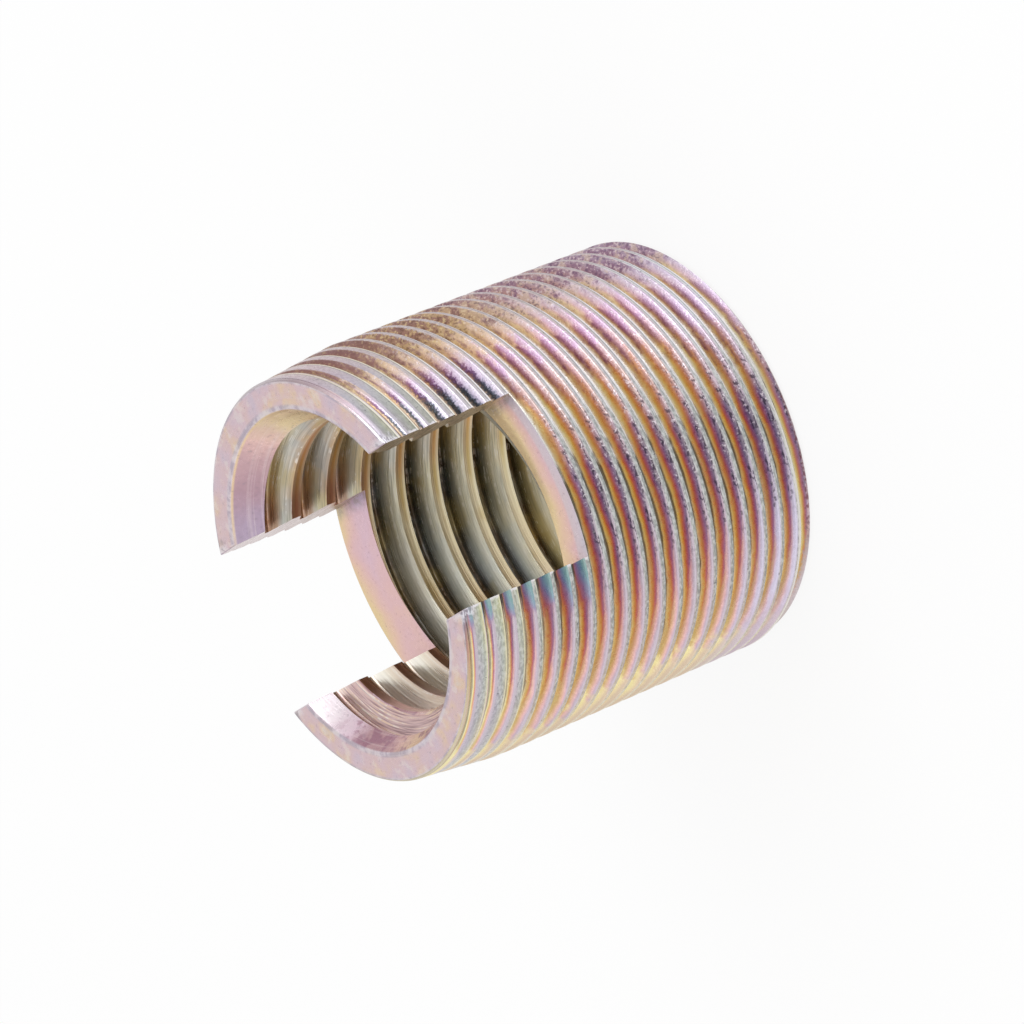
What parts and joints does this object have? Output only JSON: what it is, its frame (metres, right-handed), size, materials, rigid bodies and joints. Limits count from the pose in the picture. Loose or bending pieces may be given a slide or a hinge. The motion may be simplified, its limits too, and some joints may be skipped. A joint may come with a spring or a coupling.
{
  "type": "threaded insert",
  "caption": "Slotted self-cutting threaded insert: a steel sleeve with a coarse thread in its bore, a fine cutting thread outside, a tapered lead and a wide slot milled across one end.",
  "frame": {"origin": "on the sleeve's axis, in the plane of its plain end, which it stands on", "axes": "+Z along the sleeve's axis towards the slotted end, +X along the slot"},
  "size_m": [0.03, 0.03, 0.0294],
  "materials": {
    "plated_steel": "satin"
  },
  "bodies": {
    "root": {"insert_sleeve": "plated_steel"}
  },
  "joints": []
}
